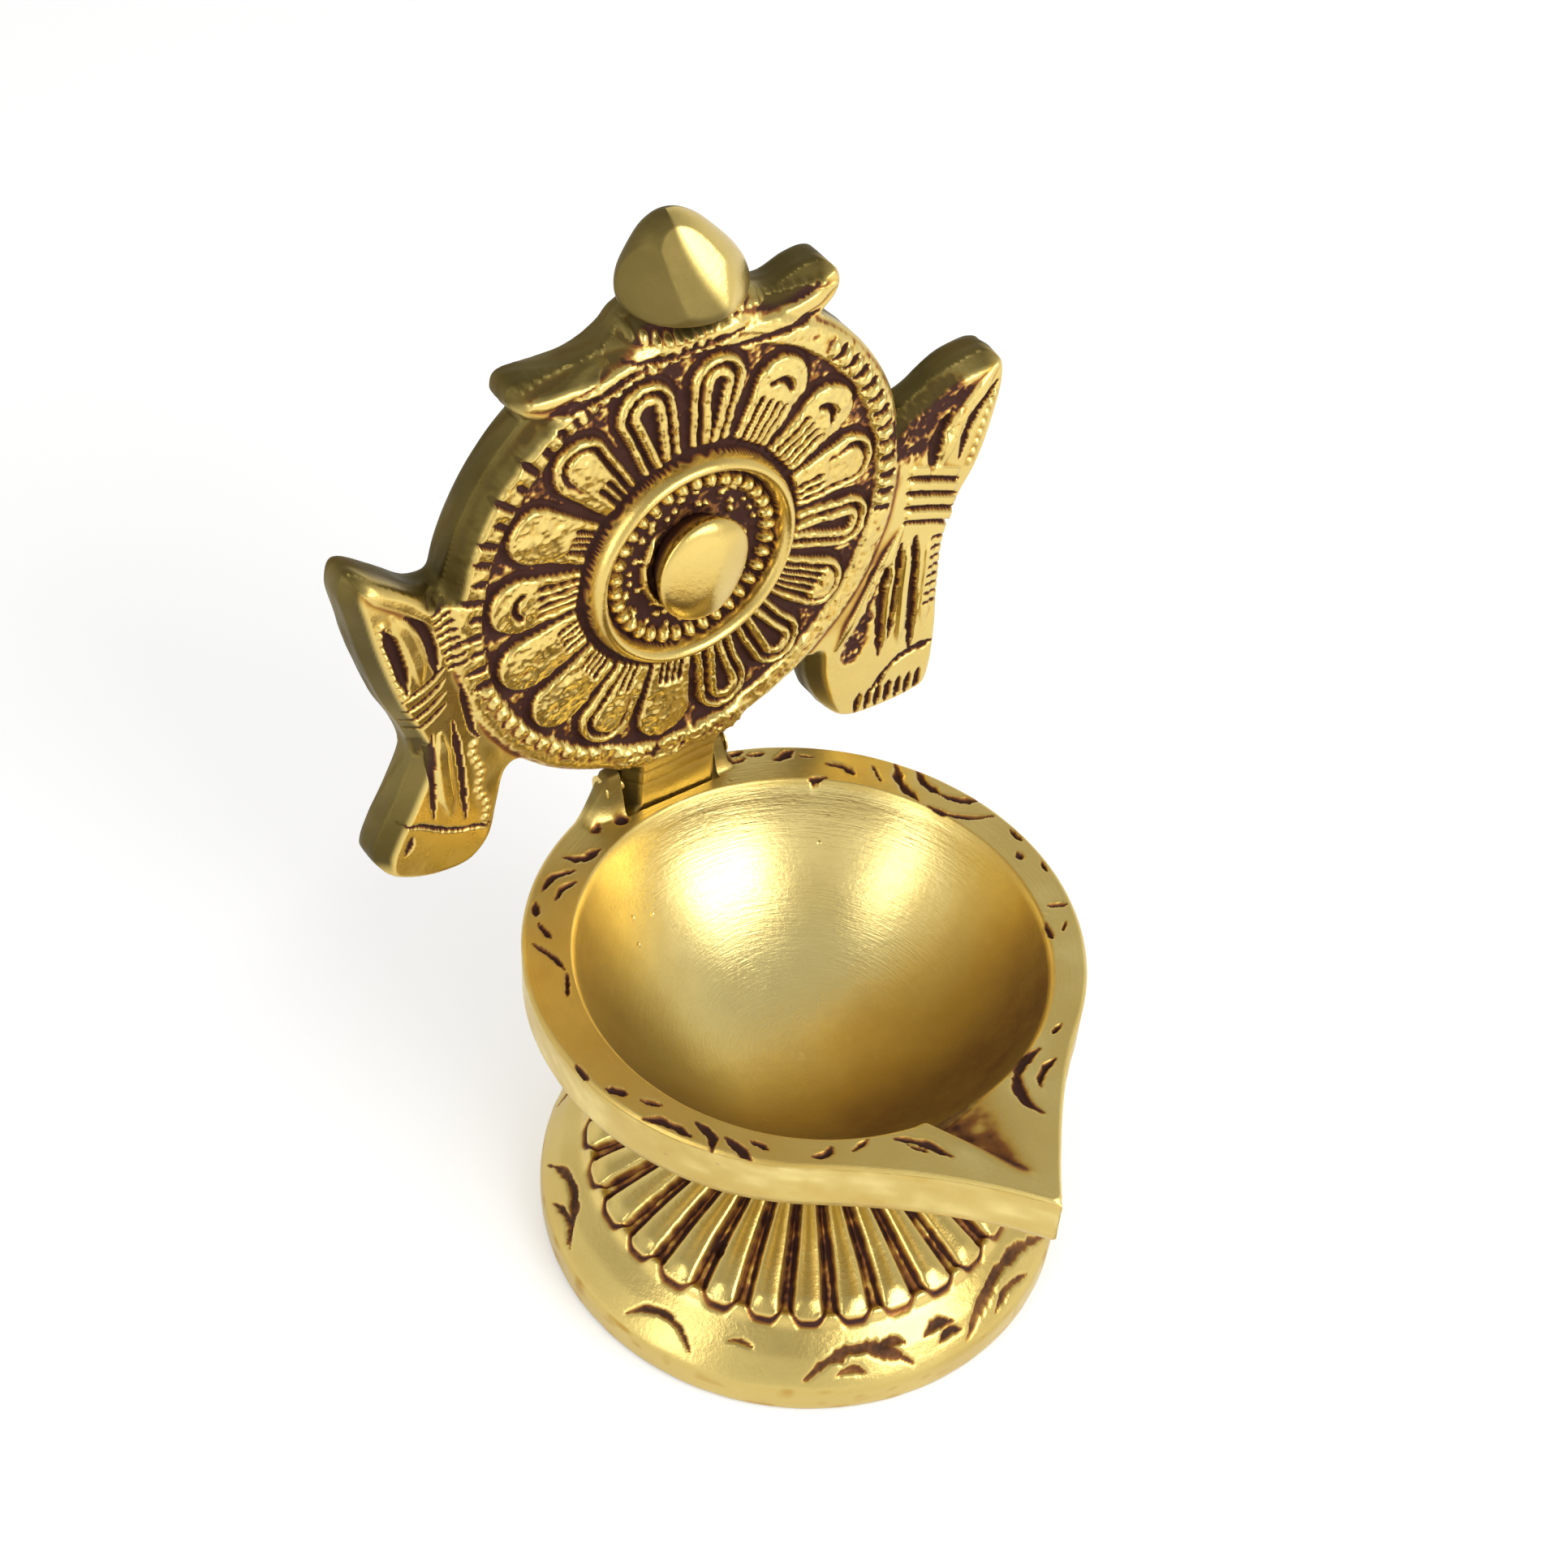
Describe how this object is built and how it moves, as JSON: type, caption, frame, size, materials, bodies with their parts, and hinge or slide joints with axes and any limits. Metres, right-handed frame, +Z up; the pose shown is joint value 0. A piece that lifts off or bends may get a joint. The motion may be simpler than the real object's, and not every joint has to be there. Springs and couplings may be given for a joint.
{
  "type": "diya oil lamp",
  "caption": "Small cast brass oil lamp: a teardrop bowl on a fluted hollow foot, with an ornamental disc plate that folds forward over the bowl on a rivet.",
  "frame": {"origin": "middle of the lamp's footprint box, on the surface that the foot stands on", "axes": "+Z up along the lamp's height; -Y from the hinged plate towards the spout; +X across the bowl"},
  "size_m": [0.0606, 0.057, 0.0889],
  "materials": {
    "bowl_brass": "satin polished cast brass, brown patina in the engraving",
    "pedestal_brass": "polished high spots, brown patina in the grooves",
    "plate_brass": "sand-cast relief, polished high spots, red-brown patina in the recesses",
    "pin_brass": "hammered rivet heads",
    "screw_steel": "plain turned screw",
    "washer_steel": "plain stamped washer"
  },
  "bodies": {
    "lamp": {"bowl": "bowl_brass", "pedestal": "pedestal_brass", "hinge_pin": "pin_brass", "foot_screw": "screw_steel", "foot_washer": "washer_steel"},
    "plate": {"chakra_plate": "plate_brass"}
  },
  "joints": [
    {"name": "plate_fold", "type": "hinge", "parent": "lamp", "child": "plate", "pos_m": [0, 0.02646, 0.0334], "axis": [1, 0, 0], "range_deg": [0, 78]}
  ]
}
